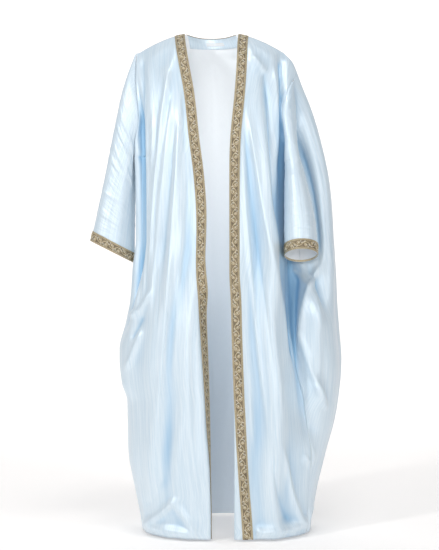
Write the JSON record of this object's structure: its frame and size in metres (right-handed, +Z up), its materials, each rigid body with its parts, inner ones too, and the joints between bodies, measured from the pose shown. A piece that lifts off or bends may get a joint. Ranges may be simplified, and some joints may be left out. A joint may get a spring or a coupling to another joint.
{
  "type": "kaftan",
  "caption": "Open-front kaftan robe of pale ice-blue satin, filled out as if worn, with gold embroidered bands along the fronts, the back neck and the cuffs.",
  "frame": {"origin": "at the neck, midway between the two shoulder seams, level with them, where the robe rests on the wearer's shoulders", "axes": "+Z up, front towards -Y, the viewer's right towards +X"},
  "size_m": [0.7486, 0.3998, 1.4587],
  "materials": {
    "ice_blue_satin": "glossy pale ice-blue satin outside, its matte reverse inside",
    "gold_embroidery": "dark ground closely covered with antique-gold metallic thread",
    "label_weave": "plain woven label, matte"
  },
  "bodies": {
    "root": {"back": "ice_blue_satin", "front_left": "ice_blue_satin", "front_right": "ice_blue_satin", "front_trim_left": "gold_embroidery", "front_trim_right": "gold_embroidery", "neck_trim_back": "gold_embroidery", "neck_facing": "ice_blue_satin", "neck_label": "label_weave", "sleeve_left": "ice_blue_satin", "sleeve_right": "ice_blue_satin", "cuff_trim_left": "gold_embroidery", "cuff_trim_right": "gold_embroidery"}
  },
  "joints": []
}
